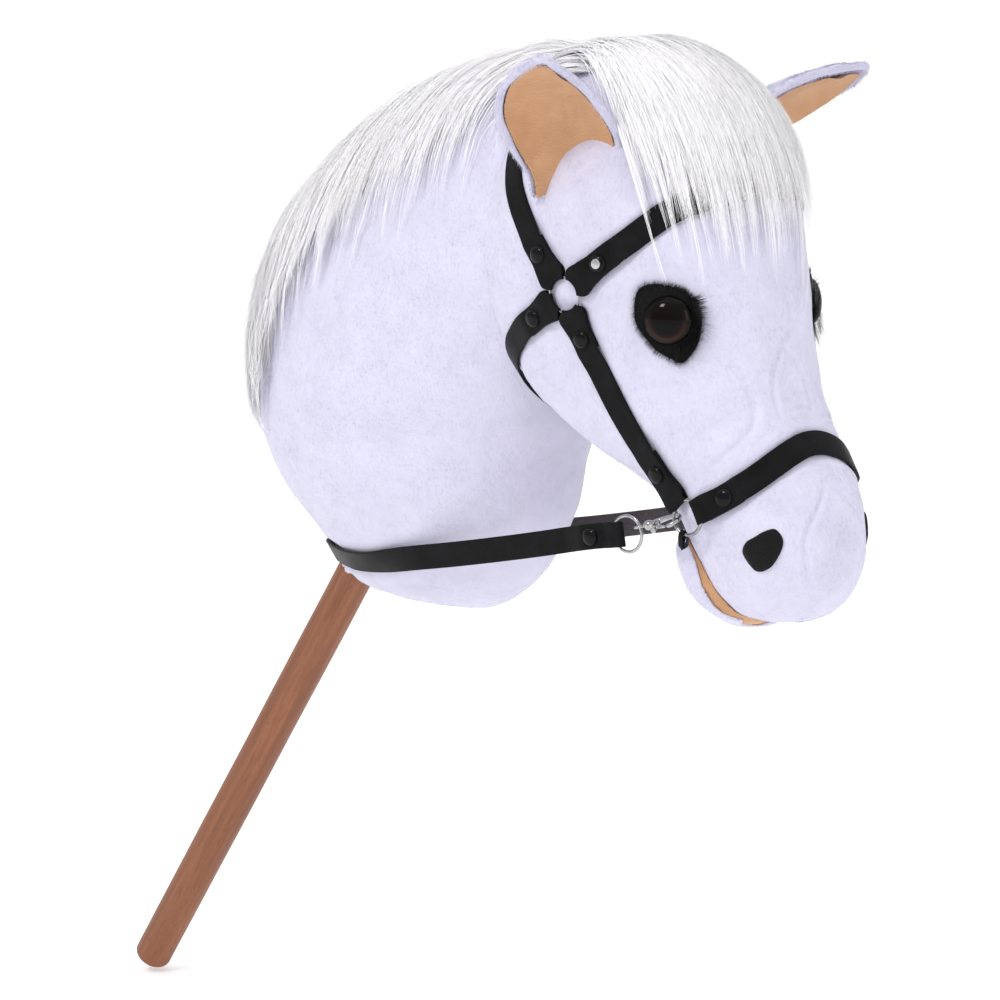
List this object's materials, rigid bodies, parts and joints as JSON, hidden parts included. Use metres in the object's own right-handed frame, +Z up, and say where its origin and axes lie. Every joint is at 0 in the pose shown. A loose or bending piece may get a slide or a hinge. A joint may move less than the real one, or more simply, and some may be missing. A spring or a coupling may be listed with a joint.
{
  "type": "hobby horse",
  "caption": "Plush horse head and neck on a round wooden stick, with upright ears, flowing mane, domed eyes and a studded bridle whose rein clips to rings with swivel snap hooks.",
  "frame": {"origin": "centre of the flat foot face at the low end of the stick, in the riding pose of the picture", "axes": "+X forward to the nose, +Y to the horse's left, +Z up; the stick leans back from the upright by 34.9 degrees in the XZ plane"},
  "size_m": [0.6558, 0.284, 0.6871],
  "materials": {
    "plush": "matte",
    "stuffing": "matte",
    "hair": "matte",
    "tan_fabric": "matte",
    "black_felt": "matte",
    "black_fur": "matte",
    "eye_plastic": "gloss",
    "washer_plastic": "matte",
    "leatherette": "satin",
    "black_stud": "gloss",
    "dark_ring": "polished",
    "nickel": "polished",
    "stick_wood": "satin"
  },
  "bodies": {
    "toy": {"browband": "leatherette", "chin_strap": "leatherette", "crown_strap": "leatherette", "forelock": "hair", "head_skin": "plush", "left_brow_stud": "black_stud", "left_cheekpiece": "leatherette", "left_crown_stud": "black_stud", "left_ear": "plush", "left_ear_lining": "tan_fabric", "left_eye": "eye_plastic", "left_eye_patch": "black_fur", "left_eye_washer": "washer_plastic", "left_eyelashes": "black_fur", "left_lower_cheek_stud": "black_stud", "left_nose_stud": "black_stud", "left_nostril": "black_felt", "left_rein_stud": "black_stud", "left_swivel_eye": "nickel", "left_throat_stud": "black_stud", "left_upper_cheek_stud": "black_stud", "lower_lip": "plush", "mouth_lining": "tan_fabric", "neck_mane": "hair", "neck_skin": "plush", "noseband": "leatherette", "rein": "leatherette", "right_brow_stud": "black_stud", "right_cheekpiece": "leatherette", "right_crown_stud": "black_stud", "right_ear": "plush", "right_ear_lining": "tan_fabric", "right_eye": "eye_plastic", "right_eye_patch": "black_fur", "right_eye_washer": "washer_plastic", "right_eyelashes": "black_fur", "right_lower_cheek_stud": "black_stud", "right_nose_stud": "black_stud", "right_nostril": "black_felt", "right_rein_stud": "black_stud", "right_swivel_eye": "nickel", "right_throat_stud": "black_stud", "right_upper_cheek_stud": "black_stud", "stick": "stick_wood", "stuffing": "stuffing", "throatlatch": "leatherette"},
    "right_temple_ring_body": {"right_temple_ring": "dark_ring"},
    "right_bit_ring_body": {"right_bit_ring": "dark_ring"},
    "right_split_ring_body": {"right_split_ring": "nickel"},
    "right_hook_body": {"right_snap_hook": "nickel", "right_gate_pin": "nickel"},
    "right_gate_body": {"right_gate": "nickel"},
    "left_temple_ring_body": {"left_temple_ring": "dark_ring"},
    "left_bit_ring_body": {"left_bit_ring": "dark_ring"},
    "left_split_ring_body": {"left_split_ring": "nickel"},
    "left_hook_body": {"left_snap_hook": "nickel", "left_gate_pin": "nickel"},
    "left_gate_body": {"left_gate": "nickel"}
  },
  "joints": [
    {"name": "right_temple_ring_spin", "type": "hinge", "parent": "toy", "child": "right_temple_ring_body", "pos_m": [0.49611, -0.08668, 0.53291], "axis": [0.1131, -0.992, -0.0551], "continuous": true},
    {"name": "right_bit_ring_spin", "type": "hinge", "parent": "toy", "child": "right_bit_ring_body", "pos_m": [0.577, -0.0625, 0.4022], "axis": [0.0536, -0.9985, 0.0146], "continuous": true},
    {"name": "right_split_ring_spin", "type": "hinge", "parent": "toy", "child": "right_split_ring_body", "pos_m": [0.52997, -0.06526, 0.38629], "axis": [0.0536, -0.9985, 0.0146], "continuous": true},
    {"name": "right_hook_swivel", "type": "hinge", "parent": "toy", "child": "right_hook_body", "pos_m": [0.53966, -0.06466, 0.39188], "axis": [0.9633, 0.0555, 0.2625], "range_deg": [-6, 6]},
    {"name": "right_gate_press", "type": "hinge", "parent": "right_hook_body", "child": "right_gate_body", "pos_m": [0.55249, -0.06552, 0.3945], "axis": [-0.207, -0.4687, 0.8587], "range_deg": [0, 20], "stiffness_Nm_per_rad": 0.004, "springref_deg": -14.32},
    {"name": "left_temple_ring_spin", "type": "hinge", "parent": "toy", "child": "left_temple_ring_body", "pos_m": [0.49611, 0.08668, 0.53291], "axis": [0.1131, 0.992, -0.0551], "continuous": true},
    {"name": "left_bit_ring_spin", "type": "hinge", "parent": "toy", "child": "left_bit_ring_body", "pos_m": [0.577, 0.0625, 0.4022], "axis": [0.0536, 0.9985, 0.0146], "continuous": true},
    {"name": "left_split_ring_spin", "type": "hinge", "parent": "toy", "child": "left_split_ring_body", "pos_m": [0.52997, 0.06526, 0.38629], "axis": [0.0536, 0.9985, 0.0146], "continuous": true},
    {"name": "left_hook_swivel", "type": "hinge", "parent": "toy", "child": "left_hook_body", "pos_m": [0.53966, 0.06466, 0.39188], "axis": [0.9633, -0.0555, 0.2625], "range_deg": [-6, 6]},
    {"name": "left_gate_press", "type": "hinge", "parent": "left_hook_body", "child": "left_gate_body", "pos_m": [0.55249, 0.06552, 0.3945], "axis": [0.207, -0.4687, -0.8587], "range_deg": [0, 20], "stiffness_Nm_per_rad": 0.004, "springref_deg": -14.32}
  ]
}
